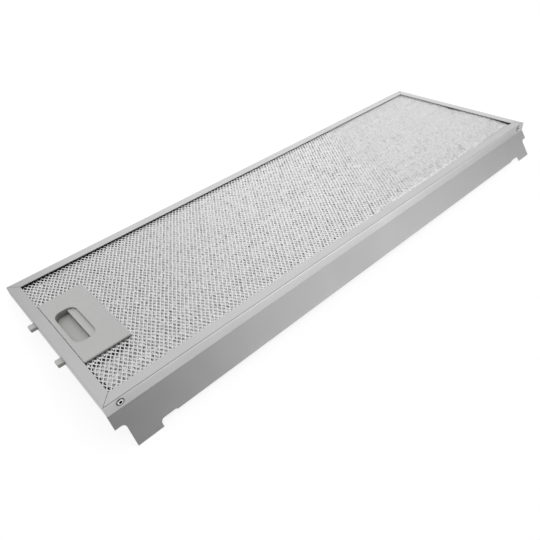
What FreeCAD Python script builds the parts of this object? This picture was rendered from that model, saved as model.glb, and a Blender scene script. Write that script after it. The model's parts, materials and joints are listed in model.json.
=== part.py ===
import FreeCAD, Part
import math
import os

Vector = FreeCAD.Vector

# Sizes are in millimetres. +X runs along the long side, away from the latch, -Y is the side with the
# sloped panel, and +Z is the face with the finger latch. Z is zero at the feet of the panel's tabs, and
# X and Y are zero at the middle of the whole part.

# Frame: one strip of sheet, folded to a channel, notched at the corners and bent round the mesh pack.
cassette_length = 565.0
cassette_width = 180.0
cassette_height = 9.0
frame_sheet = 0.7
flange_width = 9.4
fold_inside = 0.2
mitre_gap = 0.3

# Mesh pack: an expanded sheet on each face and crimped layers between them.
pack_edge_gap = 4.0
mesh_sheet = 0.8
crimp_layers = 4
crimp_foil = 0.2
crimp_pitch = 14.0
pack_clearance = 0.4
gap_pitch = 33.0
gap_row_pitch = 20.5
strand_width = 5.5
mesh_rim = 2.0

# Handle plate, flush with the frame, with a finger opening and the upright walls of the finger well.
plate_length = 39.5
plate_width = 87.0
plate_sheet = 1.5
plate_proud = 0.2
plate_gap = 0.4
plate_corner = 1.2
plate_edge = 0.4
opening_inset = 3.9
opening_length = 18.4
opening_width = 44.6
opening_corner = 7.0
well_wall = 1.2
snap_length = 8.0
snap_spacing = 17.0
snap_sheet = 1.0
snap_depth = 3.8
snap_barb = 0.8
snap_barb_height = 1.3

# Latch tray and the slider that moves in it.
tray_width = 80.0
tray_wall = 1.2
tray_floor = 1.2
running_gap = 0.3
slider_inset = 16.1
slider_depth = 8.0
slider_edge = 0.6
bolt_spacing = 52.1
bolt_width = 6.2
bolt_height = 3.2
bolt_drop = 2.0
bolt_reach = 5.5
bolt_tip = 0.9
latch_travel = 5.5
guide_length = 16.0
stop_width = 4.0
spring_sheet = 0.5
spring_height = 3.2
spring_width = 40.0
spring_seat = 0.15
spring_room = 2.5

# Fixed pegs at the end away from the latch.
peg_spacing = 52.1
peg_width = 6.2
peg_height = 3.0
peg_drop = 3.4
peg_reach = 4.0
peg_head = 2.0
peg_head_sheet = 1.2
peg_tip = 0.8

# Sloped panel: a flange on the frame's front wall, folded outwards, with a tab near each end.
panel_sheet = 0.8
panel_slope = math.radians(54.7)
panel_fold_inside = 0.6
panel_top_drop = 0.15
fold_drop = 9.2
lobe_depth = 10.8
main_depth = 24.8
relief_depth = 23.9
tab_depth = 29.5
tab_inset = 7.9
tab_width = 21.3
relief_length = 13.9
notch_corner = 3.0

# Blind rivets that hold the panel's flange to the frame.
rivet_inset = 12.0
rivet_drop = 3.2
rivet_shank = 1.6
rivet_hole_gap = 0.05
rivet_head = 2.8
rivet_head_height = 0.9
rivet_crown = 1.9
rivet_mandrel = 1.2
rivet_grip_tail = 2.2
rivet_tail = 2.1

# How far cutters run past the faces that they cut, and the slack in finding an edge by its place.
overcut = 1.0
near = 1e-4

# Planes that the pieces share, worked out from the sizes above.
slope_out = math.cos(panel_slope)
slope_down = math.sin(panel_slope)
panel_reach = panel_sheet + tab_depth * slope_out
z_fold = tab_depth * slope_down + panel_sheet * slope_out
z_top = z_fold + fold_drop
z_base = z_top - cassette_height

x_latch = (bolt_reach - peg_reach - cassette_length) / 2
x_far = x_latch + cassette_length
y_front = (panel_reach - cassette_width) / 2
y_back = y_front + cassette_width
y_mid = y_front + cassette_width / 2

z_plate_top = z_top + plate_proud
z_plate = z_plate_top - plate_sheet
z_front_mesh = z_plate - mesh_sheet
z_rear_mesh = z_base + frame_sheet
z_layers = z_rear_mesh + mesh_sheet
z_tray_floor = z_layers + tray_floor

x_plate = x_latch + flange_width + plate_gap
x_opening = x_plate + opening_inset
x_slider = x_plate + slider_inset
x_slider_back = x_slider + slider_depth
x_stop = x_slider_back + latch_travel + running_gap
x_spring_wall = x_slider_back + latch_travel + spring_room
x_tray = x_latch + frame_sheet
x_tray_end = x_spring_wall + tray_wall

z_bolt = z_top - bolt_drop
z_slider = z_tray_floor + running_gap
z_slider_top = z_plate - running_gap


def block(x, y, z):
    """A box over three spans, each given as its low and high end."""
    size = [span[1] - span[0] for span in (x, y, z)]
    return Part.makeBox(*size, Vector(x[0], y[0], z[0]))


def about(middle, width):
    """The span of a width about its middle."""
    return middle - width / 2, middle + width / 2


def both_sides(spacing):
    """The two places that lie a spacing apart about the cassette's middle line."""
    return about(y_mid, spacing)


def is_upright(edge):
    """Whether an edge runs straight up."""
    box = edge.BoundBox
    return box.XLength < near and box.YLength < near


def runs_along(edge, y):
    """Whether an edge runs along X at a place in Y."""
    box = edge.BoundBox
    return box.XLength > near and abs(box.YMin - y) < near and abs(box.YMax - y) < near


def is_level(edge, z):
    """Whether an edge lies in the level plane at a height."""
    box = edge.BoundBox
    return abs(box.ZMin - z) < near and abs(box.ZMax - z) < near


def rounded(solid, radius, chosen):
    """The solid with each edge that a test accepts rounded to a radius."""
    return solid.makeFillet(radius, [edge for edge in solid.Edges if chosen(edge)])


def mirrored(solid, point, normal):
    """The solid and its mirror image in a plane."""
    return [solid, solid.mirror(point, normal)]


def bevelled(solid, size, chosen):
    """The solid with each edge that a test accepts bevelled."""
    return solid.makeChamfer(size, [edge for edge in solid.Edges if chosen(edge)])


def make_rail(length):
    """One side of the channel, along X from its corner, with round folds and mitred ends."""
    outside = block((0, length), (0, flange_width), (z_base, z_top))
    outside = rounded(outside, fold_inside + frame_sheet, lambda edge: runs_along(edge, 0))
    inside_y = frame_sheet, flange_width + overcut
    inside = block((0, length), inside_y, (z_base + frame_sheet, z_top - frame_sheet))
    inside = rounded(inside, fold_inside, lambda edge: runs_along(edge, frame_sheet))
    plan = [(0, 0), (length, 0), (length - flange_width, flange_width), (flange_width, flange_width), (0, 0)]
    face = Part.Face(Part.makePolygon([Vector(x, y, z_base) for x, y in plan]))
    return outside.cut(inside).common(face.extrude(Vector(0, 0, cassette_height)))


def mitre_slit(x, y, start):
    """A thin cut along a corner's diagonal, from a distance in to the end of the flanges."""
    turn_x = 1 if x < 0 else -1
    turn_y = 1 if y < y_mid else -1
    along = start * math.sqrt(2), (flange_width + overcut) * math.sqrt(2)
    slit = block(along, about(0, mitre_gap), (z_base - overcut, z_top + overcut))
    slit.rotate(Vector(), Vector(0, 0, 1), math.degrees(math.atan2(turn_y, turn_x)))
    slit.translate(Vector(x, y, 0))
    return slit


def bolt_slots(x, gap):
    """The room that the two bolts need in an upright wall over a span of X."""
    z = z_bolt - bolt_height - gap, z_bolt + gap
    return [block(x, about(y, bolt_width + 2 * gap), z) for y in both_sides(bolt_spacing)]


def peg_slots(x):
    """The openings for the fixed pegs in the far wall."""
    z = z_top - peg_drop - peg_height, z_top - peg_drop
    return [block(x, about(y, peg_width), z) for y in both_sides(peg_spacing)]


def rivet_places():
    """The two points on the front wall's outside where the rivets go."""
    z = z_top - rivet_drop
    return [Vector(x, y_front, z) for x in (x_latch + rivet_inset, x_far - rivet_inset)]


def rivet_holes():
    """Holes for the rivets' shanks, through the flange and the front wall."""
    radius = rivet_shank + rivet_hole_gap
    start = Vector(0, -panel_sheet - overcut, 0)
    length = panel_sheet + frame_sheet + 2 * overcut
    return [Part.makeCylinder(radius, length, place + start, Vector(0, 1, 0)) for place in rivet_places()]


def make_frame():
    """The folded channel frame, open at the joint in its back far corner."""
    rails = []
    for length, turn, x, y in (
        (cassette_length, 0, x_latch, y_front),
        (cassette_width, 90, x_far, y_front),
        (cassette_length, 180, x_far, y_back),
        (cassette_width, 270, x_latch, y_back),
    ):
        rail = make_rail(length)
        rail.rotate(Vector(), Vector(0, 0, 1), turn)
        rail.translate(Vector(x, y, 0))
        rails.append(rail)
    channel = rails[0].fuse(rails[1:]).removeSplitter()
    wall = frame_sheet + fold_inside
    slits = [mitre_slit(x_latch, y_front, wall), mitre_slit(x_far, y_front, wall)]
    slits += [mitre_slit(x_latch, y_back, wall), mitre_slit(x_far, y_back, -overcut)]
    slots = bolt_slots((x_latch - overcut, x_tray), running_gap)
    slots += peg_slots((x_far - frame_sheet, x_far + overcut))
    return channel.cut(slits + slots + rivet_holes())


def tray_recess(z):
    """The space that the mesh pack leaves for the latch tray, over a span of height."""
    x = x_latch, x_tray_end + pack_clearance
    return block(x, about(y_mid, tray_width + 2 * pack_clearance), z)


def pack_spans():
    """The mesh pack's spans along X and Y, inside the frame's channel."""
    x = x_latch + pack_edge_gap, x_far - pack_edge_gap
    return x, (y_front + pack_edge_gap, y_back - pack_edge_gap)


def gap_places(x, y, half_x, half_y):
    """The middles of the staggered gaps that fit in a sheet over two spans."""
    room_x = (x[1] - x[0]) / 2 - mesh_rim - half_x
    room_y = (y[1] - y[0]) / 2 - mesh_rim - half_y
    rows = math.floor(2 * room_y / gap_row_pitch) + 1
    stagger = gap_pitch / 4 if rows > 1 else 0
    columns = math.floor(2 * (room_x - stagger) / gap_pitch) + 1
    for row in range(rows):
        shift = stagger * (-1) ** row
        gap_y = (y[0] + y[1]) / 2 + (row - (rows - 1) / 2) * gap_row_pitch
        for column in range(columns):
            yield (x[0] + x[1]) / 2 + (column - (columns - 1) / 2) * gap_pitch + shift, gap_y


def make_mesh(z, x, y):
    """An expanded sheet over two spans: one thin wall with staggered diamond gaps between its strands."""
    reach = math.hypot(gap_pitch / 2, gap_row_pitch)
    open_share = 1 - strand_width * reach / (gap_pitch * gap_row_pitch)
    half_x = open_share * gap_pitch / 2
    half_y = open_share * gap_row_pitch
    wires = [Part.makePlane(x[1] - x[0], y[1] - y[0], Vector(x[0], y[0], z)).OuterWire]
    for gap_x, gap_y in gap_places(x, y, half_x, half_y):
        corners = [(-half_x, 0), (0, -half_y), (half_x, 0), (0, half_y), (-half_x, 0)]
        wires.append(Part.makePolygon([Vector(gap_x + dx, gap_y + dy, z) for dx, dy in corners]))
    return Part.makeFace(wires, "Part::FaceMakerBullseye").extrude(Vector(0, 0, mesh_sheet))


def make_front_mesh():
    """The front sheet from the latch tray's end to the far rail."""
    x, y = pack_spans()
    return make_mesh(z_front_mesh, (x_tray_end + pack_clearance, x[1]), y)


def make_front_mesh_sides():
    """The front sheet's two strips, one on each side of the latch tray."""
    pack_x, pack_y = pack_spans()
    tray_y = about(y_mid, tray_width + 2 * pack_clearance)
    x = pack_x[0], x_tray_end + pack_clearance
    spans = [(pack_y[0], tray_y[0]), (tray_y[1], pack_y[1])]
    return Part.makeCompound([make_mesh(z_front_mesh, x, y) for y in spans])


def make_crimped_layer(number):
    """One crimped layer of the pack. Its ridges lie across those of the next layer."""
    pitch_z = (z_front_mesh - z_layers) / crimp_layers
    low = z_layers + number * pitch_z
    rise = pitch_z - crimp_foil
    along, across = pack_spans() if number % 2 == 0 else reversed(pack_spans())
    folds = 2 * round((along[1] - along[0]) / crimp_pitch)
    step = (along[1] - along[0]) / folds
    under = [(along[0] + fold * step, low + rise * (fold % 2)) for fold in range(folds + 1)]
    outline = under + [(place, z + crimp_foil) for place, z in reversed(under)] + under[:1]
    if number % 2 == 0:
        points = [Vector(place, across[0], z) for place, z in outline]
        sweep = Vector(0, across[1] - across[0], 0)
    else:
        points = [Vector(across[0], place, z) for place, z in outline]
        sweep = Vector(across[1] - across[0], 0, 0)
    sheet = Part.Face(Part.makePolygon(points)).extrude(sweep)
    return sheet.cut(tray_recess((z_layers - overcut, z_top)))


def opening_block(grow, z):
    """A rounded block over the finger opening's outline, grown on every side."""
    x = x_opening - grow, x_opening + opening_length + grow
    solid = block(x, about(y_mid, opening_width + 2 * grow), z)
    return rounded(solid, opening_corner + grow, is_upright)


def make_snap(side, x):
    """A snap tongue under the plate, whose barb stands in a window of the tray's side wall."""
    wall = y_mid + side * (tray_width / 2 - tray_wall)
    root = wall - side * snap_sheet
    tip = z_plate - snap_depth
    outline = [(root, z_plate), (root, tip), (wall, tip), (wall + side * snap_barb, tip + snap_barb_height)]
    outline += [(wall, tip + snap_barb_height), (wall, z_plate), (root, z_plate)]
    face = Part.Face(Part.makePolygon([Vector(x[0], y, z) for y, z in outline]))
    return face.extrude(Vector(x[1] - x[0], 0, 0))


def snap_spans():
    """The spans along X of the two snap tongues on each side."""
    middle = (x_plate + x_spring_wall) / 2
    return [about(x, snap_length) for x in about(middle, snap_spacing)]


def make_handle_plate():
    """The plate with its finger opening, the walls of the finger well and four snap tongues."""
    plate = block((x_plate, x_plate + plate_length), about(y_mid, plate_width), (z_plate, z_plate_top))
    plate = rounded(plate, plate_corner, is_upright)
    hollow = opening_block(0, (z_plate - cassette_height, z_plate_top + overcut))
    plate = plate.cut(hollow)
    plate = bevelled(plate, plate_edge, lambda edge: is_level(edge, z_plate_top))
    well = opening_block(well_wall, (z_tray_floor, z_plate)).cut(hollow)
    slider_x = x_slider - running_gap, x_slider + plate_length
    slider_side = block(slider_x, about(y_mid, plate_width), (z_base, z_top))
    tongues = [make_snap(side, x) for side in (-1, 1) for x in snap_spans()]
    return plate.fuse([well.cut(slider_side)] + tongues).removeSplitter()


def make_latch_tray():
    """The open tray under the plate, with guides, stops and slots for the bolts."""
    outer_y = about(y_mid, tray_width)
    tray = block((x_tray, x_tray_end), outer_y, (z_layers, z_plate))
    inner_x = x_tray + tray_wall, x_spring_wall
    inner_y = about(y_mid, tray_width - 2 * tray_wall)
    tray = tray.cut(block(inner_x, inner_y, (z_tray_floor, z_plate + overcut)))
    ribs = []
    for side in (-1, 1):
        guide = y_mid + side * (bolt_spacing / 2 + bolt_width / 2 + running_gap + tray_wall / 2)
        stop = y_mid + side * (bolt_spacing / 2 - bolt_width / 2 + stop_width / 2)
        guide_x = x_slider - running_gap - guide_length, x_slider - running_gap
        ribs.append(block(guide_x, about(guide, tray_wall), (z_tray_floor, z_bolt)))
        ribs.append(block((x_stop, x_spring_wall), about(stop, stop_width), (z_tray_floor, z_bolt)))
    z_window = z_plate - snap_depth - running_gap, z_plate - snap_depth + snap_barb_height
    cuts = bolt_slots((x_tray - overcut, x_tray + tray_wall), running_gap)
    for low, high in snap_spans():
        window_x = low - running_gap, high + running_gap
        cuts.append(block(window_x, (outer_y[0] - overcut, inner_y[0]), z_window))
        cuts.append(block(window_x, (inner_y[1], outer_y[1] + overcut), z_window))
    return tray.fuse(ribs).cut(cuts).removeSplitter()


def make_latch_slider():
    """The finger bar and its two bolts, one moulding, with arms that pass beside the finger well."""
    width = bolt_spacing + bolt_width
    bar = block((x_slider, x_slider_back), about(y_mid, width), (z_slider, z_slider_top))
    bar = rounded(bar, slider_edge, lambda edge: is_level(edge, z_slider_top))
    tip = x_latch - bolt_reach
    shoulder = x_opening - well_wall - running_gap - latch_travel
    arm_width = min(bolt_width, (width - opening_width) / 2 - well_wall - running_gap)
    z = z_bolt - bolt_height, z_bolt
    bolts = []
    for side in (-1, 1):
        outer = y_mid + side * width / 2
        bolt = block((tip, shoulder), about(outer - side * bolt_width / 2, bolt_width), z)
        arm_x = shoulder, x_slider_back - slider_edge
        bolts.append(rounded(bolt, bolt_tip, lambda edge: edge.BoundBox.XMax < tip + near))
        bolts.append(block(arm_x, about(outer - side * arm_width / 2, arm_width), z))
    return bar.fuse(bolts).removeSplitter()


def make_latch_spring():
    """A bowed leaf spring between the finger bar and the tray's end wall."""
    back = x_spring_wall - spring_seat
    rise = back - (x_slider_back + spring_seat)
    outer = ((spring_width / 2) ** 2 + rise ** 2) / (2 * rise)
    z_spring = (z_slider + z_slider_top - spring_height) / 2
    centre = Vector(x_slider_back + spring_seat + outer, y_mid, z_spring)
    ring = Part.makeCylinder(outer, spring_height, centre)
    ring = ring.cut(Part.makeCylinder(outer - spring_sheet, spring_height, centre))
    z = z_spring, z_spring + spring_height
    return ring.common(block((x_slider_back, back), about(y_mid, spring_width), z))


def make_fixed_pegs():
    """The two pegs in the far wall, each with a head inside the frame."""
    pegs = []
    for y in both_sides(peg_spacing):
        z_peg = z_top - peg_drop - peg_height / 2
        head_x = x_far - frame_sheet - peg_head_sheet, x_far - frame_sheet
        head = block(head_x, about(y, peg_width + peg_head), about(z_peg, peg_height + peg_head))
        tip = x_far + peg_reach
        peg = block((head_x[1], tip), about(y, peg_width), about(z_peg, peg_height))
        peg = bevelled(peg, peg_tip, lambda edge: edge.BoundBox.XMin > tip - near)
        pegs.append(head.fuse(peg).removeSplitter())
    return Part.makeCompound(pegs)


def panel_cutter(x, depth, corner_x):
    """What the blank loses below a depth on the slope, with a round corner where the cut turns."""
    down = depth, tab_depth + overcut
    cutter = block(x, down, (-cassette_height, cassette_height))
    if corner_x is not None:
        at_corner = Vector(corner_x, depth, 0)
        cutter = rounded(
            cutter,
            notch_corner,
            lambda edge: is_upright(edge) and edge.BoundBox.Center.distanceToPoint(at_corner) < near,
        )
    cutter.rotate(Vector(), Vector(1, 0, 0), math.degrees(panel_slope) - 180)
    cutter.translate(Vector(0, y_front - panel_sheet, z_fold))
    return cutter


def make_deflector_panel():
    """The sloped panel: flange, fold, slope and the two tabs, all one sheet."""
    y_out = y_front - panel_sheet
    turn = panel_sheet * math.tan((math.pi / 2 - panel_slope) / 2)
    end_y = y_out - tab_depth * slope_out
    end_z = z_fold - tab_depth * slope_down
    outline = [(y_out, z_top - panel_top_drop), (y_out, z_fold), (end_y, end_z)]
    outline += [(end_y + panel_sheet * slope_down, end_z - panel_sheet * slope_out), (y_front, z_fold - turn)]
    outline += [(y_front, z_top - panel_top_drop), outline[0]]
    face = Part.Face(Part.makePolygon([Vector(x_latch, y, z) for y, z in outline]))
    sheet = face.extrude(Vector(cassette_length, 0, 0))

    def fold_at(y, z):
        place = Vector((x_latch + x_far) / 2, y, z)
        return lambda edge: edge.BoundBox.Center.distanceToPoint(place) < near

    sheet = rounded(sheet, panel_fold_inside, fold_at(y_out, z_fold))
    sheet = rounded(sheet, panel_fold_inside + panel_sheet, fold_at(y_front, z_fold - turn))
    cuts = rivet_holes()
    tab_end = tab_inset + tab_width
    step = tab_end + relief_length
    cuts.append(panel_cutter((x_latch + step, x_far - step), main_depth, None))
    for cutter_x, depth, corner in (
        ((-overcut, tab_inset), lobe_depth, tab_inset),
        ((tab_end, step), relief_depth, tab_end),
    ):
        near_x = x_latch + cutter_x[0], x_latch + cutter_x[1]
        cutter = panel_cutter(near_x, depth, x_latch + corner)
        cuts += mirrored(cutter, Vector((x_latch + x_far) / 2, 0, 0), Vector(1, 0, 0))
    return sheet.cut(cuts)


def make_panel_rivets():
    """Two blind rivets: a domed head, a shank, a spread tail and the mandrel's open bore."""
    rivets = []
    for place in rivet_places():
        out = place.y - panel_sheet
        inner = place.y + frame_sheet
        tail = inner + rivet_grip_tail
        crown = out - rivet_head_height
        ring = [(rivet_mandrel, tail), (rivet_tail, tail), (rivet_tail, inner), (rivet_shank, inner)]
        ring += [(rivet_shank, out), (rivet_head, out), (rivet_crown, crown), (rivet_mandrel, crown)]
        points = [Vector(place.x + radius, y, place.z) for radius, y in ring + ring[:1]]
        section = Part.Face(Part.makePolygon(points))
        rivets.append(section.revolve(place, Vector(0, 1, 0), 360))
    return Part.makeCompound(rivets)


def all_pieces():
    """Every piece by its name."""
    pieces = {
        "frame": make_frame(),
        "front_mesh": make_front_mesh(),
        "front_mesh_sides": make_front_mesh_sides(),
        "rear_mesh": make_mesh(z_rear_mesh, *pack_spans()),
        "handle_plate": make_handle_plate(),
        "latch_tray": make_latch_tray(),
        "latch_slider": make_latch_slider(),
        "latch_spring": make_latch_spring(),
        "fixed_pegs": make_fixed_pegs(),
        "deflector_panel": make_deflector_panel(),
        "panel_rivets": make_panel_rivets(),
    }
    for number in range(crimp_layers):
        pieces[f"crimped_layer_{number + 1}"] = make_crimped_layer(number)
    return pieces


os.makedirs("parts", exist_ok=True)
for name, piece in all_pieces().items():
    piece.exportStep(f"parts/{name}.step")
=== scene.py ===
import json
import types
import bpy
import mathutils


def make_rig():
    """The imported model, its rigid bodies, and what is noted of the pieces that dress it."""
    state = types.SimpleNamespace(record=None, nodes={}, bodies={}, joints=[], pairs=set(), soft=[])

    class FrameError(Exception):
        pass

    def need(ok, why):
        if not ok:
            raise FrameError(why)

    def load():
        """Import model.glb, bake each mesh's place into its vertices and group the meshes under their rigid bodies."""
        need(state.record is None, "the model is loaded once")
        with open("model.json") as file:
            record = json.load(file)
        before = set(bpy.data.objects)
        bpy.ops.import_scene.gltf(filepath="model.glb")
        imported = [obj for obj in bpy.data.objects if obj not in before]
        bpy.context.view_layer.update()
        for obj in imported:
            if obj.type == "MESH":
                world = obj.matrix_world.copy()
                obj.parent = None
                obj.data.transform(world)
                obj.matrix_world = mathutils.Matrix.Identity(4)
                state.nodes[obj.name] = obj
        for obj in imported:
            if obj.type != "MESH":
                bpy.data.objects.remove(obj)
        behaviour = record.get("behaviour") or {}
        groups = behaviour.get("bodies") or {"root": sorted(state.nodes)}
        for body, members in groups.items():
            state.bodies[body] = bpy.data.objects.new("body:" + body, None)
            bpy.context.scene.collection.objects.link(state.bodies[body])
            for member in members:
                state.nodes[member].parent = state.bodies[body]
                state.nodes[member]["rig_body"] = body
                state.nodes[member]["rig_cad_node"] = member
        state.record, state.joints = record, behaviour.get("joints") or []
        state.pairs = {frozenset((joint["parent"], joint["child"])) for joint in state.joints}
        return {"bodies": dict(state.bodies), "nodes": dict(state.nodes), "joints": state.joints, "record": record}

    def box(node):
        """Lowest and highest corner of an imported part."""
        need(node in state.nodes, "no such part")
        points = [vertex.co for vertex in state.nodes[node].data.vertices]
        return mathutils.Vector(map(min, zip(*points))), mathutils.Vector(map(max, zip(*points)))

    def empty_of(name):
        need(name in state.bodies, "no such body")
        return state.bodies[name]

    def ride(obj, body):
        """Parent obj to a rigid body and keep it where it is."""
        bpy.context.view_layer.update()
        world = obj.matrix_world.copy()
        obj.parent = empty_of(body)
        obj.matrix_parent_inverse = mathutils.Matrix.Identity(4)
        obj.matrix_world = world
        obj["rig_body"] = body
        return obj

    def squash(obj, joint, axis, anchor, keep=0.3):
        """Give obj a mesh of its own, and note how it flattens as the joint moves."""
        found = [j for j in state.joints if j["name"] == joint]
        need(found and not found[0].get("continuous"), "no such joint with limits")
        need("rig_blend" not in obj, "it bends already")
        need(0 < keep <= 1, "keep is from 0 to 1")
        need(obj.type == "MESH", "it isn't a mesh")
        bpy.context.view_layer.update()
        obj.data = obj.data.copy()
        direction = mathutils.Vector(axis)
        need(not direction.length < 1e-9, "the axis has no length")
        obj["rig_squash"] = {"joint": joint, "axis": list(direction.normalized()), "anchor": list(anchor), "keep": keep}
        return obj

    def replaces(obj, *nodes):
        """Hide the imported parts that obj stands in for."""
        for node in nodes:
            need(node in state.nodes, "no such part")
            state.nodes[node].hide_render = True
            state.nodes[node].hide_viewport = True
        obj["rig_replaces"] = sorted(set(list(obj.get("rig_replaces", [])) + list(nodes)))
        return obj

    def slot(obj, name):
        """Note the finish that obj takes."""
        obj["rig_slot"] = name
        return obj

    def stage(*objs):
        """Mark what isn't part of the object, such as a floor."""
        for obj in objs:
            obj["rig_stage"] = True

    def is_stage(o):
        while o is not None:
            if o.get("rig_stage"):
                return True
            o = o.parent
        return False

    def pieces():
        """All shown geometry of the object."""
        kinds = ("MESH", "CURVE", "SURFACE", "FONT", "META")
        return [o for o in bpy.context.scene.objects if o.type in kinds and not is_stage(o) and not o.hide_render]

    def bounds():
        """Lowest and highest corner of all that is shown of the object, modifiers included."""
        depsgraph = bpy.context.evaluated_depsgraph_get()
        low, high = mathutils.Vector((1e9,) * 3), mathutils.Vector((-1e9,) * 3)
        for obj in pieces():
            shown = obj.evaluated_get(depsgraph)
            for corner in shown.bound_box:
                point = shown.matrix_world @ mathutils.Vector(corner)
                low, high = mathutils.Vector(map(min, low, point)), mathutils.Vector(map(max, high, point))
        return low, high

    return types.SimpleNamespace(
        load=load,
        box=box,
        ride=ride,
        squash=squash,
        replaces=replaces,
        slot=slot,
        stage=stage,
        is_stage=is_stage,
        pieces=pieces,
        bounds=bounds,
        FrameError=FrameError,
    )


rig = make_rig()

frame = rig.load()
cad_low, cad_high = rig.bounds()

import json
import math

import bmesh
import bpy
from mathutils import Matrix, Quaternion, Vector

# All sizes are in metres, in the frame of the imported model: +X runs away from the latch, -Y is the side
# with the sloped panel and +Z is the face with the finger latch.

# Expanded mesh on both faces: a cell's pitch across and along its strands, and the strand's section. At a
# bond two strands lie less than their width apart. Noise in waves per metre, made stronger by a gain, shakes
# and twists them.
cell_across = 0.00394
cell_along = 0.00588
strand_width = 0.00092
strand_depth = 0.00028
strand_tilt = math.radians(5)
strand_twist = math.radians(4)
strand_unevenness = 0.00004
bond_share = 0.94
shake_waves = 210.0
twist_waves = 330.0
noise_gain = 4
twist_seed_step = 5
front_seed = 1.0
rear_seed = 2.0

# Both sheets lie a little low. The front one rises towards the back rail and the far end, between shares of
# its width and its length, and dips once more on the way across.
sheet_sink = 0.0003
sheet_rise = 0.00088
rise_across = (0.06, 0.2)
rise_along = (-0.15, 0.6)
dip_depth = 0.7
dip_middle = 0.5
dip_half = 0.09

# Crimped foil between them: a wider cell, folded into ridges.
foil_cell_across = 0.0064
foil_cell_along = 0.0096
foil_strand_width = 0.0031
foil_strand_depth = 0.0003
foil_twist = math.radians(25)
foil_crimp_pitch = 0.014
foil_seed = 10.0

# Room round the foil: at the latch end, the far end, the front, the back, and in front of and behind the
# latch tray. The two upper layers were put in a little crooked and leave gaps. The two deep ones don't.
deep_names = ["crimped_layer_1", "crimped_layer_2"]
deep_rooms = (0.0015, 0.0015, 0.0015, 0.0015)
deep_recess = (0.0015, 0.0015)
deep_turn = 0.0
upper_names = ["crimped_layer_3", "crimped_layer_4"]
upper_rooms = (0.0085, 0.0055, 0.005, 0.0037)
upper_recess = (0.010, 0.001)
upper_turn = math.radians(1.0)

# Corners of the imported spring's loose triangles that are nearer than this are one.
merge_distance = 0.000001

# Painted shade turns a finish to a dark shade of its own colour, by a share of 0 to 1.
metal_painted_shade_level = 0.05
moulding_painted_shade_level = 0.2

# Painted shade on the frame: a dark line in the seam along the panel's flange, stronger towards the latch, a darkening
# at the latch end towards the back, a darkening along the front rail towards the far end, and the inside of the
# channel.
seam_width = 0.0006
seam_core = 0.00048
seam_share = 0.15
seam_latch_share = 0.4
latch_shade_reach = (0.01, 0.06)
latch_shade_share = 0.18
rail_shade_reach = (0.008, 0.014)
rail_shade_share = 0.1
channel_skin = 0.00065
channel_share = 0.5

# Bare metal on the cut edge of the frame's flanges, made brighter as a painted highlight.
flange_width = 0.0094
edge_skin = 0.00004
bare_and_highlight_level = 0.9

# Painted shade on the panel: a painted shadow in a ring round each rivet, a little lower than its head, painted shade
# on the flange outside a middle stretch that is left lit, where the reflection falls off, and painted shade on the
# slope, the side turned from the light.
rivet_ring = 0.0006
rivet_ring_core = 0.00042
rivet_ring_share = 0.85
rivet_shadow_drop = 0.0005
lit_middle = -0.04
lit_half = 0.06
lit_fade = 0.23
flange_shade_share = 0.36
slope_shade_share = 0.13

# Painted shade at the rim and round the bore of a rivet's head, from and to shares of its radius.
rivet_rim = (0.74, 0.84)
rivet_rim_share = 0.85
rivet_bore = (0.45, 0.49)

# Painted shade in the finger well, below the finger bar's top, and on the edge of the opening, below an unshaded lip.
# The opening lies past the plate's margin and within its reach.
well_unshaded_depth = 0.0004
well_shade_share = 0.65
opening_unshaded_lip = 0.0002
opening_margin = 0.002
opening_reach = 0.03
opening_shade_share = 0.5

# Textures of the finishes: the size of their features, how far these are stretched, how much they change
# the tone and the roughness, and the depth of the bump. Constants of the finishes are here too.
fine_detail = 3.0
metal_bump = 0.00001
tone_spread = 0.06
sheet_metallic = 0.92
cloud_size = 0.03
grain_size = 0.0004
grain_stretch = (6, 1, 1)
grain_tone = 0.3
grain_dulls = 0.05
rub_size = 0.011
rub_stretch = (3, 1, 1)
rub_detail = 4.0
rub_dulls = 0.07
sheet_gloss = 0.05
patch_size = 0.0025
patch_edge = (0.35, 0.65)
patch_dulls = 0.16
scratch_size = 0.0003
scratch_stretch = (1, 4, 1)
scratch_dulls = 0.08
rivet_spread = 0.1
rivet_scratch_dulls = 0.1
moulding_cloud_size = 0.012
pit_size = 0.00035
pit_tone = 0.4
pit_bump = 0.000012
pit_dulls = 0.16
moulding_roughness = 0.46
moulding_specular = 0.4
tint_in_red = 0.3

# Camera, where the photograph was taken from.
camera_place = Vector((-0.3169, -0.3190, 0.3078))
camera_target = Vector((-0.1093, -0.0580, 0.0337))
camera_roll = math.radians(-6.19)
camera_lens = 33.624
camera_sensor = 36.0

# Floor: it leans, because the part rests on its tabs and on the frame's back edge. To the camera it turns
# plain white between two distances from the part, past the part's shadow.
floor_reach = 8.0
floor_gap = 0.0002
floor_near = 0.6
floor_far = 0.9
floor_albedo = 0.25
floor_lift = 0.82

# Walls with a window: the light from the walls and from the window's middle, and the cosines of the angles
# from its middle where the window starts and where it is brightest.
wall_light = 0.88
window_light = 1.5
window_way = Vector((0.643, 0.766, 0.0))
window_start = 0.55
window_full = 0.95

# Lamp overhead, and two dark cards, each from its lower to its upper corner.
lamp_place = (0.7, 0.4, 1.4)
lamp_aim = (0.0, 0.0, 0.0)
lamp_size = 1.4
lamp_power = 1.0
front_card_low = (-1.3, -1.2, -0.1)
front_card_high = (0.2, -1.2, 1.4)
front_card_level = 0.08
side_card_low = (1.5, -1.05, -0.1)
side_card_high = (1.5, 0.2, 0.6)
side_card_level = 0.2


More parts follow.
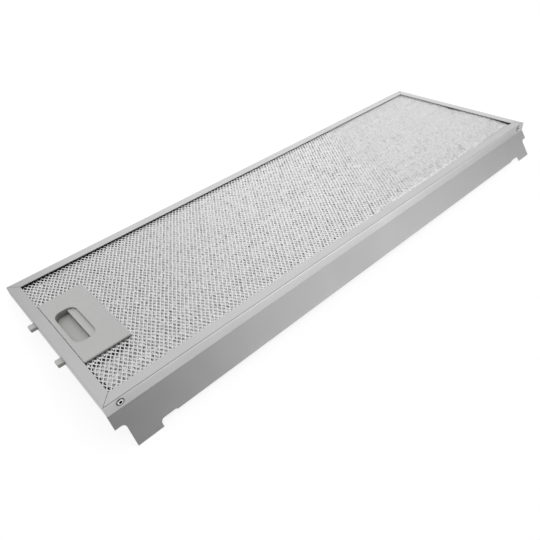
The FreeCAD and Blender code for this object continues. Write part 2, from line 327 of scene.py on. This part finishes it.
class Wire:
    """A socket of a node tree. Sums written with it add Math nodes to that tree."""

    def __init__(self, tree, socket=None):
        self.tree = tree
        self.socket = socket

    def make(self, kind, settings=None, inputs=None, output=0):
        """A new node: its settings first, then its sockets' values or links. Gives one of its outputs."""
        node = self.tree.nodes.new(kind)
        for name, value in (settings or {}).items():
            setattr(node, name, value)
        for key, value in (inputs or {}).items():
            self.put(value, node.inputs[key])
        return Wire(self.tree, node.outputs[output])

    def put(self, value, socket):
        """Links a wire to a socket, or sets the socket to a plain value."""
        if isinstance(value, Wire):
            self.tree.links.new(value.socket, socket)
        else:
            socket.default_value = value

    def out(self, name):
        """Another output of the node that this wire comes from."""
        return Wire(self.tree, self.socket.node.outputs[name])

    def math(self, operation, *values):
        """A Math node over one or two values."""
        return self.make("ShaderNodeMath", {"operation": operation}, dict(enumerate(values)))

    def __add__(self, other):
        return self.math("ADD", self, other)

    def __radd__(self, other):
        return self.math("ADD", other, self)

    def __sub__(self, other):
        return self.math("SUBTRACT", self, other)

    def __rsub__(self, other):
        return self.math("SUBTRACT", other, self)

    def __mul__(self, other):
        return self.math("MULTIPLY", self, other)

    def __rmul__(self, other):
        return self.math("MULTIPLY", other, self)

    def __truediv__(self, other):
        return self.math("DIVIDE", self, other)

    def __rtruediv__(self, other):
        return self.math("DIVIDE", other, self)

    def __mod__(self, other):
        return self.math("FLOORED_MODULO", self, other)

    def __rmod__(self, other):
        return self.math("FLOORED_MODULO", other, self)

    def __gt__(self, other):
        return self.math("GREATER_THAN", self, other)

    def __lt__(self, other):
        return self.math("LESS_THAN", self, other)

    def __abs__(self):
        return self.math("ABSOLUTE", self)

    def __round__(self):
        return self.math("ROUND", self)

    def __floor__(self):
        return self.math("FLOOR", self)


def rising(kit, value, start, end):
    """Nothing up to a start, rising to one at an end."""
    return kit.make("ShaderNodeMapRange", inputs={"Value": value, "From Min": start, "From Max": end})


def fading(kit, value, start, end):
    """One up to a start, falling to nothing at an end."""
    return 1 - rising(kit, value, start, end)


def grey(level):
    """A plain grey."""
    return level, level, level, 1.0


# Geometry trees

def tree_inputs(tree, sockets):
    """Adds named inputs to a geometry tree and gives a wire for each."""
    for name, kind in sockets:
        tree.interface.new_socket(name=name, in_out="INPUT", socket_type=kind)
    tree.interface.new_socket(name="Geometry", in_out="OUTPUT", socket_type="NodeSocketGeometry")
    node = tree.nodes.new("NodeGroupInput")
    return {name: Wire(tree, node.outputs[name]) for name, kind in sockets}


def split_position(kit):
    """A point's X. The outputs Y and Z come from the same node."""
    place = kit.make("GeometryNodeInputPosition")
    return kit.make("ShaderNodeSeparateXYZ", inputs={0: place})


def sheet_noise(kit, waves, seed, output):
    """Noise at a point of a sheet, as a number or a colour."""
    place = kit.make("GeometryNodeInputPosition")
    inputs = {"Vector": place, "W": seed, "Scale": waves, "Detail": 1.0}
    return kit.make("ShaderNodeTexNoise", {"noise_dimensions": "4D"}, inputs, output)


def strand_rows(kit, use, half_cell, knot_step):
    """Straight rows of points along Y, one for each strand, side by side along X."""
    strands = math.floor(use["Length"] / half_cell) + 1
    knots = math.floor(use["Width"] / knot_step) + 1
    along_y = kit.make("ShaderNodeCombineXYZ", inputs={"Y": knot_step})
    along_x = kit.make("ShaderNodeCombineXYZ", inputs={"X": half_cell})
    strand = kit.make("GeometryNodeMeshLine", inputs={"Count": knots, "Offset": along_y})
    starts = kit.make(
        "GeometryNodeMeshLine",
        inputs={"Count": strands, "Start Location": use["Low corner"], "Offset": along_x},
    )
    rows = kit.make("GeometryNodeInstanceOnPoints", inputs={"Points": starts, "Instance": strand})
    return kit.make("GeometryNodeRealizeInstances", inputs={"Geometry": rows})


def sheet_lift(kit, share_along, share_across):
    """The share of its rise that the front sheet has at a place."""
    lifted = rising(kit, share_across, *rise_across) * rising(kit, share_along, *rise_along)
    past_dip = rising(kit, abs(share_across - dip_middle), 0.0, dip_half)
    return lifted * (1 - dip_depth + past_dip * dip_depth)


def strand_shift(kit, use, half_cell, knot_step):
    """A point's way from its straight row: the weave, the ridges, the rise, the turn and unevenness."""
    place = split_position(kit)
    low = kit.make("ShaderNodeSeparateXYZ", inputs={0: use["Low corner"]})
    from_end = place - low
    from_front = place.out("Y") - low.out("Y")
    strand_number = round(from_end / half_cell)
    knot_number = round(from_front / knot_step)
    side = (strand_number + math.floor(knot_number / 2)) % 2 * 2 - 1
    bond = use["Strand width"] * kit.math("COSINE", use["Strand tilt"]) * bond_share
    sway = (half_cell - bond) / 2
    lift = use["Strand width"] / 2 * kit.math("SINE", use["Strand tilt"])
    position = kit.make("GeometryNodeInputPosition")
    fold = kit.make(
        "ShaderNodeVectorMath", {"operation": "DOT_PRODUCT"}, {0: position, 1: use["Crimp along"]}
    )
    fold = fold.out("Value") / use["Crimp pitch"]
    ridge = abs(fold % 1 * 2 - 1) * use["Crimp rise"]
    rise = sheet_lift(kit, from_end / use["Length"], from_front / use["Width"]) * use["Corner rise"]
    weave = kit.make(
        "ShaderNodeCombineXYZ",
        inputs={
            "X": side * sway - place.out("Y") * use["Turn"],
            "Y": place * use["Turn"],
            "Z": ridge + rise - side * lift,
        },
    )
    shaken = sheet_noise(kit, shake_waves, use["Seed"], "Color")
    shaken = kit.make("ShaderNodeVectorMath", {"operation": "SUBTRACT"}, {0: shaken, 1: (0.5, 0.5, 0.5)})
    shaken = kit.make(
        "ShaderNodeVectorMath", {"operation": "SCALE"}, {0: shaken, "Scale": use["Unevenness"] * noise_gain}
    )
    return kit.make("ShaderNodeVectorMath", {"operation": "ADD"}, {0: weave, 1: shaken})


def cut_recess(kit, use, rows):
    """Takes the points in the recess out of the rows."""
    place = split_position(kit)
    beside_middle = abs(place.out("Y") - use["Recess middle"])
    in_recess = (place < use["Recess end"]) * (beside_middle < use["Recess half"])
    return kit.make(
        "GeometryNodeDeleteGeometry", {"domain": "POINT"}, {"Geometry": rows, "Selection": in_recess}
    )


def strand_solid(kit, use, rows):
    """Flat three-sided strands along the rows. A triangle in a circle of radius 1 is 1.5 by root 3."""
    lines = kit.make("GeometryNodeMeshToCurve", inputs={0: rows})
    lines = kit.make("GeometryNodeSetCurveNormal", {"mode": "Z_UP"}, {"Curve": lines})
    twist = sheet_noise(kit, twist_waves, use["Seed"] + twist_seed_step, 0)
    tilt = use["Turn over"] - use["Strand tilt"] + (twist - 0.5) * noise_gain * use["Strand twist"]
    lines = kit.make("GeometryNodeSetCurveTilt", inputs={"Curve": lines, "Tilt": tilt})
    section = kit.make("GeometryNodeCurvePrimitiveCircle", inputs={"Resolution": 3, "Radius": 1.0})
    section_size = kit.make(
        "ShaderNodeCombineXYZ",
        inputs={"X": use["Strand depth"] / 1.5, "Y": use["Strand width"] / math.sqrt(3), "Z": 1.0},
    )
    section = kit.make("GeometryNodeTransform", inputs={"Geometry": section, "Scale": section_size})
    section = kit.make(
        "GeometryNodeTransform", inputs={"Geometry": section, "Rotation": (0, 0, math.pi / 2)}
    )
    solid = kit.make(
        "GeometryNodeCurveToMesh", inputs={"Curve": lines, "Profile Curve": section, "Fill Caps": True}
    )
    return kit.make("GeometryNodeSetShadeSmooth", inputs={"Geometry": solid, "Shade Smooth": False})


def expanded_sheet_tree():
    """Slit and stretched sheet: strands that run along Y and weave from bond to bond, in one solid mesh."""
    tree = bpy.data.node_groups.new("expanded_sheet", "GeometryNodeTree")
    use = tree_inputs(tree, [
        ("Low corner", "NodeSocketVector"),
        ("Length", "NodeSocketFloat"),
        ("Width", "NodeSocketFloat"),
        ("Cell across", "NodeSocketFloat"),
        ("Cell along", "NodeSocketFloat"),
        ("Strand width", "NodeSocketFloat"),
        ("Strand depth", "NodeSocketFloat"),
        ("Strand tilt", "NodeSocketFloat"),
        ("Strand twist", "NodeSocketFloat"),
        ("Turn over", "NodeSocketFloat"),
        ("Unevenness", "NodeSocketFloat"),
        ("Crimp pitch", "NodeSocketFloat"),
        ("Crimp rise", "NodeSocketFloat"),
        ("Crimp along", "NodeSocketVector"),
        ("Turn", "NodeSocketFloat"),
        ("Corner rise", "NodeSocketFloat"),
        ("Recess end", "NodeSocketFloat"),
        ("Recess middle", "NodeSocketFloat"),
        ("Recess half", "NodeSocketFloat"),
        ("Seed", "NodeSocketFloat"),
        ("Finish", "NodeSocketMaterial"),
    ])
    kit = Wire(tree)
    half_cell = use["Cell across"] / 2
    knot_step = use["Cell along"] / 4
    rows = strand_rows(kit, use, half_cell, knot_step)
    shift = strand_shift(kit, use, half_cell, knot_step)
    rows = kit.make("GeometryNodeSetPosition", inputs={"Geometry": rows, "Offset": shift})
    solid = strand_solid(kit, use, cut_recess(kit, use, rows))
    solid = kit.make("GeometryNodeRealizeInstances", inputs={"Geometry": solid})
    solid = kit.make("GeometryNodeSetMaterial", inputs={"Geometry": solid, "Material": use["Finish"]})
    output = tree.nodes.new("NodeGroupOutput")
    kit.put(solid, output.inputs["Geometry"])
    return tree


def grown(name, tree, values):
    """A plain mesh object grown by a geometry tree from named values."""
    carrier = bpy.data.objects.new(name + "_carrier", bpy.data.meshes.new(name + "_carrier"))
    bpy.context.scene.collection.objects.link(carrier)
    modifier = carrier.modifiers.new("grow", "NODES")
    modifier.node_group = tree
    for item in tree.interface.items_tree:
        if item.in_out == "INPUT" and item.name in values:
            modifier[item.identifier] = values[item.name]
    shown = carrier.evaluated_get(bpy.context.evaluated_depsgraph_get())
    mesh = bpy.data.meshes.new_from_object(shown)
    mesh.name = name
    carrier.modifiers.remove(modifier)
    bpy.data.objects.remove(carrier)
    piece = bpy.data.objects.new(name, mesh)
    bpy.context.scene.collection.objects.link(piece)
    return piece


# Finishes

def new_finish(name):
    """An empty material, and a wire that makes nodes in it."""
    material = bpy.data.materials.new(name)
    material.use_nodes = True
    material.node_tree.nodes.clear()
    return material, Wire(material.node_tree)


def close_finish(kit, shader):
    """Links a shader to a finish's output."""
    output = kit.tree.nodes.new("ShaderNodeOutputMaterial")
    kit.put(shader, output.inputs["Surface"])


def surface(kit, constants, changing, bump, bump_depth):
    """Ends a finish: constant sockets are set, changing ones linked, and a height becomes bump."""
    normal = kit.make("ShaderNodeBump", inputs={"Strength": 1.0, "Distance": bump_depth, "Height": bump})
    shader = kit.make("ShaderNodeBsdfPrincipled", inputs={**constants, **changing, "Normal": normal})
    close_finish(kit, shader)


def own_place(kit):
    """X of the object's own coordinates. The outputs Y and Z come from the same node."""
    place = kit.make("ShaderNodeTexCoord", output="Object")
    return kit.make("ShaderNodeSeparateXYZ", inputs={0: place})


def noise(kit, size, stretch=(1, 1, 1), detail=2.0):
    """Noise on the object's own coordinates, with features of a size, stretched along the axes."""
    place = kit.make("ShaderNodeTexCoord", output="Object")
    scale = [1 / (size * s) for s in stretch]
    place = kit.make("ShaderNodeMapping", inputs={"Vector": place, "Scale": scale})
    return kit.make("ShaderNodeTexNoise", inputs={"Vector": place, "Scale": 1.0, "Detail": detail})


def between(kit, share, first, second):
    """A colour between two, by a share."""
    return kit.make("ShaderNodeMix", {"data_type": "RGBA"}, {0: share, 6: first, 7: second}, 2)


def stronger(kit, first, second):
    """The larger of two shares."""
    return kit.math("MAXIMUM", first, second)


def within(kit, place, low, high, axes, margin):
    """One inside a box that is smaller than low to high by a margin, along some of the axes."""
    inside = 1.0
    for axis in axes:
        number = "XYZ".index(axis)
        middle = (low[number] + high[number]) / 2
        half = (high[number] - low[number]) / 2 - margin
        inside = inside * (abs(place.out(axis) - middle) < half)
    return inside


def frame_painted_shade(kit):
    """Where painted shade darkens the frame: in the seam, at the latch end, along the front rail and inside its
    channel.
    """
    low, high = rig.box("frame")
    place = own_place(kit)
    from_front = place.out("Y") - low.y
    near_latch = fading(kit, place, low.x, high.x)
    latch_start, latch_stop = latch_shade_reach
    at_latch = fading(kit, place, low.x + latch_start, low.x + latch_stop)
    towards_back = rising(kit, place.out("Y"), low.y, high.y)
    # Painted shade at the latch end towards the back, and along the front rail towards the far end.
    painted_shade = at_latch * towards_back * latch_shade_share
    on_rail = fading(kit, from_front, *rail_shade_reach) * (1 - near_latch)
    painted_shade = stronger(kit, painted_shade, on_rail * rail_shade_share)
    # Painted shade inside the channel.
    painted_shade = stronger(kit, painted_shade, within(kit, place, low, high, "XYZ", channel_skin) * channel_share)
    # Painted shade in the seam, where the gap would fall dark.
    in_seam = fading(kit, from_front, seam_core, seam_width)
    return stronger(kit, painted_shade, in_seam * (seam_share + near_latch * seam_latch_share))


def cut_edge(kit):
    """Where the frame's sheet was cut and is bare, brightened too as a painted highlight: the edge of its upper
    flanges, round the window.
    """
    low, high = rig.box("frame")
    place = own_place(kit)
    in_upper_half = place.out("Z") > (low.z + high.z) / 2
    return in_upper_half * within(kit, place, low, high, "XY", flange_width - edge_skin)


def from_rivet(kit, drop=0.0):
    """Distance from a point on or under the axis of the nearer rivet, and the radius of a rivet's head."""
    low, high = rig.box("panel_rivets")
    radius = (high.z - low.z) / 2
    middle = (low.x + high.x) / 2
    reach = (high.x - low.x) / 2 - radius
    place = own_place(kit)
    along = abs(abs(place - middle) - reach)
    across = place.out("Z") - (low.z + high.z) / 2 + drop
    return kit.math("SQRT", along * along + across * across), radius


def panel_painted_shade(kit):
    """Where painted shade darkens the panel: a painted shadow in a ring round each rivet, and painted shade on the
    flange outside its lit middle stretch and on the slope.
    """
    # Painted shadow in a ring round each rivet, dropped below its head.
    away, radius = from_rivet(kit, rivet_shadow_drop)
    ring = fading(kit, away, radius + rivet_ring_core, radius + rivet_ring)
    place = own_place(kit)
    # Painted shade on the flange outside its lit middle stretch, and on the slope.
    lit_stretch = fading(kit, abs(place - lit_middle), lit_half, lit_half + lit_fade)
    on_flange = place.out("Z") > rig.box("frame")[0].z
    flange_and_slope_shade = on_flange * (1 - lit_stretch) * flange_shade_share + (1 - on_flange) * slope_shade_share
    return stronger(kit, ring * rivet_ring_share, flange_and_slope_shade)


def sheet_aluminium(name, level, roughness, painted_shade, bare_and_highlight=None):
    """Matt rolled aluminium sheet: fine grain, faint cloudiness, rubbed patches, painted shade, and bare edges that
    carry a painted highlight.
    """
    material, kit = new_finish(name)
    cloud = noise(kit, cloud_size)
    grain = noise(kit, grain_size, grain_stretch, fine_detail)
    rub = noise(kit, rub_size, rub_stretch, rub_detail)
    tone = cloud * (1 - grain_tone) + grain * grain_tone
    colour = between(kit, tone, grey(level * (1 - tone_spread)), grey(level * (1 + tone_spread)))
    if bare_and_highlight:
        # Bare metal on the cut edge, made brighter as a painted highlight.
        colour = between(kit, bare_and_highlight(kit), colour, grey(bare_and_highlight_level))
    # Painted shade: the mask turns the colour to a dark shade of itself.
    colour = between(kit, painted_shade(kit), colour, grey(level * metal_painted_shade_level))
    rough = roughness - sheet_gloss + rub * rub_dulls + grain * grain_dulls
    surface(
        kit,
        {"Metallic": sheet_metallic},
        {"Base Color": colour, "Roughness": rough},
        grain,
        metal_bump,
    )
    return material


def bright_mesh(name, far_end, latch_end, roughness):
    """Bright aluminium, at each end with a level and a spread: its facets differ in gloss and tone. The levels paint
    the light that differs from one end to the other, and the spread paints glints as well as random tone.
    """
    material, kit = new_finish(name)
    low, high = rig.box("frame")
    latch_share = fading(kit, own_place(kit), low.x, high.x)
    patch = rising(kit, noise(kit, patch_size), *patch_edge)
    scratch = noise(kit, scratch_size, scratch_stretch, fine_detail)
    ends = (far_end, latch_end)
    darker = between(kit, latch_share, *[grey(level * (1 - spread)) for level, spread in ends])
    lighter = between(kit, latch_share, *[grey(level * (1 + spread)) for level, spread in ends])
    colour = between(kit, patch, darker, lighter)
    rough = roughness + (patch - 0.5) * patch_dulls + scratch * scratch_dulls
    surface(kit, {"Metallic": 1.0}, {"Base Color": colour, "Roughness": rough}, scratch, metal_bump)
    return material


def rivet_metal(name, level, roughness):
    """A bright blind rivet, with painted shade at the rim of its head and round its bore."""
    material, kit = new_finish(name)
    scratch = noise(kit, scratch_size, detail=fine_detail)
    away, radius = from_rivet(kit)
    share_out = away / radius
    # Painted shade at the rim of the head and round the bore.
    dark = rising(kit, share_out, *rivet_rim) * rivet_rim_share + fading(kit, share_out, *rivet_bore)
    colour = between(kit, scratch, grey(level * (1 - rivet_spread)), grey(level * (1 + rivet_spread)))
    colour = between(kit, dark, colour, grey(level * metal_painted_shade_level))
    rough = roughness + scratch * rivet_scratch_dulls
    surface(kit, {"Metallic": 1.0}, {"Base Color": colour, "Roughness": rough}, scratch, metal_bump)
    return material


def well_painted_shade(kit):
    """Where painted shade darkens the walls of the finger well and the finger bar's side, below the plate."""
    low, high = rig.box("latch_slider")
    place = own_place(kit)
    in_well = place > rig.box("handle_plate")[0].x
    below = rising(kit, high.z - place.out("Z"), well_unshaded_depth, well_unshaded_depth * 2)
    above_floor = place.out("Z") > low.z
    # Painted shade in the finger well.
    return in_well * below * above_floor * well_shade_share


def plate_painted_shade(kit):
    """Where painted shade darkens the plate: in the well, and on the edge of the finger opening."""
    low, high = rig.box("handle_plate")
    place = own_place(kit)
    past_margin = place - low.x - opening_margin
    from_middle = abs(place.out("Y") - (low.y + high.y) / 2)
    in_opening = (past_margin > 0) * (past_margin < opening_reach) * (from_middle < opening_reach)
    below = rising(kit, high.z - place.out("Z"), opening_unshaded_lip, opening_unshaded_lip * 2)
    # Painted shade in the well and on the edge of the finger opening.
    return stronger(kit, well_painted_shade(kit), in_opening * below * opening_shade_share)


def tinted(level, tint):
    """A grey that leans to green and yellow by a tint."""
    return level * (1 - tint * tint_in_red), level, level * (1 - tint), 1.0


def grey_moulding(name, level, tint, painted_shade):
    """Matt grey moulded plastic with a fine spark-eroded texture, and painted shade where its mask darkens it."""
    material, kit = new_finish(name)
    cloud = noise(kit, moulding_cloud_size)
    pits = noise(kit, pit_size, detail=fine_detail)
    tone = cloud * (1 - pit_tone) + pits * pit_tone
    darker = tinted(level * (1 - tone_spread), tint)
    lighter = tinted(level * (1 + tone_spread), tint)
    colour = between(kit, tone, darker, lighter)
    # Painted shade: the mask turns the colour to a dark shade of itself.
    colour = between(kit, painted_shade(kit), colour, tinted(level * moulding_painted_shade_level, tint))
    rough = moulding_roughness + pits * pit_dulls
    surface(
        kit,
        {"Specular IOR Level": moulding_specular},
        {"Base Color": colour, "Roughness": rough},
        pits,
        pit_bump,
    )
    return material


def give_finish(node, material):
    """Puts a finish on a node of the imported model."""
    mesh = frame["nodes"][node].data
    mesh.materials.clear()
    mesh.materials.append(material)


# Pieces

def box_of(nodes):
    """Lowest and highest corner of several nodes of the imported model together."""
    boxes = [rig.box(node) for node in nodes]
    low = Vector([min(box[0][axis] for box in boxes) for axis in range(3)])
    high = Vector([max(box[1][axis] for box in boxes) for axis in range(3)])
    return low, high


def expanded_values(nodes, finish, seed):
    """What the sheet on one face takes from its nodes' place and the mesh's sizes: flat, with no recess."""
    low, high = box_of(nodes)
    middle = (low.z + high.z) / 2
    return {
        "Low corner": (low.x + strand_width, low.y, middle - sheet_sink),
        "Length": high.x - low.x - 2 * strand_width,
        "Width": high.y - low.y,
        "Cell across": cell_across,
        "Cell along": cell_along,
        "Strand width": strand_width,
        "Strand depth": strand_depth,
        "Strand tilt": strand_tilt,
        "Strand twist": strand_twist,
        "Turn over": 0.0,
        "Unevenness": strand_unevenness,
        "Crimp pitch": 1.0,
        "Crimp rise": 0.0,
        "Crimp along": (1.0, 0.0, 0.0),
        "Turn": 0.0,
        "Corner rise": 0.0,
        "Recess end": low.x,
        "Recess middle": 0.0,
        "Recess half": 0.0,
        "Seed": seed,
        "Finish": finish,
    }


def foil_values(node, number, finish, rooms, turn):
    """What one crimped layer takes from its node's place and the foil's sizes."""
    low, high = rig.box(node)
    latch_room, far_room, front_room, back_room = rooms
    values = expanded_values([node], finish, foil_seed + number)
    across = number % 2 == 0
    values.update({
        "Low corner": (low.x + latch_room, low.y + front_room, low.z + foil_strand_depth),
        "Length": high.x - low.x - latch_room - far_room,
        "Width": high.y - low.y - front_room - back_room,
        "Cell across": foil_cell_across,
        "Cell along": foil_cell_along,
        "Strand width": foil_strand_width,
        "Strand depth": foil_strand_depth,
        "Strand tilt": 0.0,
        "Strand twist": foil_twist,
        "Crimp pitch": foil_crimp_pitch,
        "Crimp rise": high.z - low.z - foil_strand_depth,
        "Crimp along": (1.0, 0.0, 0.0) if across else (0.0, 1.0, 0.0),
        "Turn": turn,
    })
    return values


def leave_recess(values, front_room, back_room):
    """Leaves room in a sheet for the latch tray, on its front and its back side."""
    low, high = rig.box("latch_tray")
    values["Recess end"] = high.x + back_room
    values["Recess middle"] = (low.y - front_room + high.y + back_room) / 2
    values["Recess half"] = (high.y + back_room - low.y + front_room) / 2


def dress(piece, slot, *nodes):
    """Lets a piece stand for its nodes."""
    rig.ride(piece, "cassette")
    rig.replaces(piece, *nodes)
    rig.slot(piece, slot)


def make_foil(tree, names, finish, rooms, recess, turn):
    """Some of the crimped layers, each with its ridges across those of the next."""
    for number, node in enumerate(names):
        values = foil_values(node, number, finish, rooms, turn)
        leave_recess(values, *recess)
        dress(grown(node + "_foil", tree, values), "crimped_foil", node)


def make_mesh_pack(bright, foil, deep_shade_finish):
    """The expanded sheet on each face and the crimped layers between them."""
    tree = expanded_sheet_tree()
    front_nodes = ["front_mesh", "front_mesh_sides"]
    values = expanded_values(front_nodes, bright, front_seed)
    values["Corner rise"] = sheet_rise
    leave_recess(values, strand_width, strand_width)
    dress(grown("front_mesh_strands", tree, values), "expanded_mesh", *front_nodes)
    values = expanded_values(["rear_mesh"], bright, rear_seed)
    values["Turn over"] = math.pi
    dress(grown("rear_mesh_strands", tree, values), "expanded_mesh", "rear_mesh")
    # The two deep layers take a near-black finish: a dark sheet as painted shade deep in the pack.
    make_foil(tree, deep_names, deep_shade_finish, deep_rooms, deep_recess, deep_turn)
    make_foil(tree, upper_names, foil, upper_rooms, upper_recess, upper_turn)


def make_spring(finish):
    """The latch's bowed spring strip, which flattens against the tray's wall as the latch is drawn back."""
    low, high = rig.box("latch_spring")
    travel = frame["record"]["behaviour"]["joints"][0]["range_m"][1]
    mesh = bpy.data.meshes.new("latch_spring_strip")
    shape = bmesh.new()
    shape.from_mesh(frame["nodes"]["latch_spring"].data)
    bmesh.ops.remove_doubles(shape, verts=shape.verts, dist=merge_distance)
    shape.to_mesh(mesh)
    shape.free()
    mesh.materials.append(finish)
    piece = bpy.data.objects.new("latch_spring_strip", mesh)
    bpy.context.scene.collection.objects.link(piece)
    dress(piece, "spring_steel", "latch_spring")
    keep = 1 - travel / (high.x - low.x)
    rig.squash(piece, "latch_slide", axis=(1, 0, 0), anchor=(high.x, 0, 0), keep=keep)


# Studio

def floor_white():
    """White floor that keeps the part's shadow near it. It is clear when seen from below."""
    material, kit = new_finish("studio_white")
    camera_ray = kit.make("ShaderNodeLightPath", output="Is Camera Ray")
    seen = camera_ray + camera_ray.out("Is Glossy Ray") + camera_ray.out("Is Transmission Ray")
    pale = kit.make("ShaderNodeBsdfDiffuse", inputs={"Color": grey(floor_albedo)})
    glow = kit.make("ShaderNodeEmission", inputs={"Color": grey(1.0), "Strength": seen * floor_lift})
    shaded = kit.make("ShaderNodeAddShader", inputs={0: pale, 1: glow})
    plain = kit.make("ShaderNodeEmission", inputs={"Color": grey(1.0), "Strength": 1.0})
    place = kit.make("ShaderNodeTexCoord", output="Object")
    distance = kit.make("ShaderNodeVectorMath", {"operation": "LENGTH"}, {0: place}).out("Value")
    far = camera_ray * rising(kit, distance, floor_near, floor_far)
    white = kit.make("ShaderNodeMixShader", inputs={0: far, 1: shaded, 2: plain})
    clear = kit.make("ShaderNodeBsdfTransparent")
    below = kit.make("ShaderNodeNewGeometry", output="Backfacing")
    close_finish(kit, kit.make("ShaderNodeMixShader", inputs={0: below, 1: white, 2: clear}))
    return material


def make_floor():
    """A white floor under the tabs' feet and the frame's back edge."""
    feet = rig.box("deflector_panel")[0]
    back_low, back_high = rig.box("frame")
    lean = math.atan2(back_low.z - feet.z, back_high.y - feet.y)
    corners = [(x, y, 0) for x, y in ((-1, -1), (1, -1), (1, 1), (-1, 1))]
    mesh = bpy.data.meshes.new("studio_floor")
    mesh.from_pydata([Vector(c) * floor_reach for c in corners], [], [(0, 1, 2, 3)])
    mesh.transform(Matrix.Rotation(lean, 4, "X"))
    mesh.transform(Matrix.Translation((0, feet.y, feet.z - floor_gap)))
    floor = bpy.data.objects.new("studio_floor", mesh)
    bpy.context.scene.collection.objects.link(floor)
    mesh.materials.append(floor_white())
    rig.stage(floor)


def make_world():
    """Studio walls: plain white to the camera. They light the part, more from the side with the window."""
    world = bpy.data.worlds.new("studio")
    bpy.context.scene.world = world
    world.use_nodes = True
    world.node_tree.nodes.clear()
    kit = Wire(world.node_tree)
    way = kit.make("ShaderNodeTexCoord", output="Generated")
    facing = kit.make("ShaderNodeVectorMath", {"operation": "DOT_PRODUCT"}, {0: way, 1: window_way})
    light = kit.make(
        "ShaderNodeMapRange",
        {"interpolation_type": "SMOOTHSTEP"},
        {
            "Value": facing.out("Value"),
            "From Min": window_start,
            "From Max": window_full,
            "To Min": wall_light,
            "To Max": window_light,
        },
    )
    camera_ray = kit.make("ShaderNodeLightPath", output="Is Camera Ray")
    strength = camera_ray + (1 - camera_ray) * light
    sky = kit.make("ShaderNodeBackground", inputs={"Color": grey(1.0), "Strength": strength})
    output = kit.tree.nodes.new("ShaderNodeOutputWorld")
    kit.put(sky, output.inputs["Surface"])


def make_lamp():
    """A large soft lamp overhead."""
    lamp = bpy.data.lights.new("top_softbox", "AREA")
    lamp.shape = "RECTANGLE"
    lamp.size = lamp_size
    lamp.size_y = lamp_size
    lamp.energy = lamp_power
    holder = bpy.data.objects.new("top_softbox", lamp)
    holder.location = lamp_place
    holder.rotation_mode = "QUATERNION"
    holder.rotation_quaternion = (Vector(lamp_aim) - Vector(lamp_place)).to_track_quat("-Z", "Y")
    bpy.context.scene.collection.objects.link(holder)


def make_card(name, low, high, level):
    """A dark upright card that stands outside the picture and keeps light off one side."""
    mesh = bpy.data.meshes.new(name)
    corners = [low, (high[0], high[1], low[2]), high, (low[0], low[1], high[2])]
    mesh.from_pydata(corners, [], [(0, 1, 2, 3)])
    card = bpy.data.objects.new(name, mesh)
    bpy.context.scene.collection.objects.link(card)
    material, kit = new_finish(name)
    close_finish(kit, kit.make("ShaderNodeBsdfDiffuse", inputs={"Color": grey(level)}))
    mesh.materials.append(material)
    card.visible_camera = False
    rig.stage(card)


def make_studio():
    """Floor, walls, the lamp overhead and the two cards, in front and at the far end."""
    make_floor()
    make_world()
    make_lamp()
    make_card("front_card", front_card_low, front_card_high, front_card_level)
    make_card("side_card", side_card_low, side_card_high, side_card_level)


def make_camera():
    """The camera at the photograph's viewing angle."""
    data = bpy.data.cameras.new("camera")
    data.sensor_width = camera_sensor
    data.lens = camera_lens
    camera = bpy.data.objects.new("camera", data)
    camera.location = camera_place
    camera.rotation_mode = "QUATERNION"
    level = (camera_target - camera_place).to_track_quat("-Z", "Y")
    camera.rotation_quaternion = level @ Quaternion((0, 0, 1), camera_roll)
    bpy.context.scene.collection.objects.link(camera)
    bpy.context.scene.camera = camera


bpy.context.scene.view_settings.view_transform = "Standard"
make_camera()

frame_finish = sheet_aluminium(
    "frame_aluminium", level=0.53, roughness=0.42, painted_shade=frame_painted_shade, bare_and_highlight=cut_edge
)
panel_finish = sheet_aluminium("panel_aluminium", level=0.78, roughness=0.44, painted_shade=panel_painted_shade)
# The levels paint light along the length, the foil much lighter towards the far end. The spreads paint glints as well
# as random tone.
mesh_finish = bright_mesh("mesh_aluminium", far_end=(0.65, 0.08), latch_end=(0.67, 0.08), roughness=0.3)
foil_finish = bright_mesh("foil_aluminium", far_end=(0.84, 0.08), latch_end=(0.52, 0.3), roughness=0.34)
# Deep foil: near black, as painted shade deep in the pack.
deep_shade_foil_finish = bright_mesh("shaded_foil_aluminium", far_end=(0.16, 0.1), latch_end=(0.16, 0.1), roughness=0.45)
rivet_finish = rivet_metal("rivet_aluminium", level=0.8, roughness=0.3)
spring_finish = bright_mesh("spring_steel", far_end=(0.55, 0.06), latch_end=(0.55, 0.06), roughness=0.34)
plate_finish = grey_moulding("latch_plate_grey", level=0.52, tint=0.01, painted_shade=plate_painted_shade)
latch_finish = grey_moulding("latch_grey", level=0.54, tint=0.045, painted_shade=well_painted_shade)

give_finish("frame", frame_finish)
give_finish("deflector_panel", panel_finish)
give_finish("panel_rivets", rivet_finish)
give_finish("handle_plate", plate_finish)
for node in ("latch_tray", "latch_slider", "fixed_pegs"):
    give_finish(node, latch_finish)

make_mesh_pack(mesh_finish, foil_finish, deep_shade_foil_finish)
make_spring(spring_finish)
make_studio()

bpy.context.view_layer.update()
shown_low, shown_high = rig.bounds()
with open("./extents.json", "w") as size_file:
    json.dump({"cad": [list(cad_low), list(cad_high)], "shown": [list(shown_low), list(shown_high)]}, size_file)
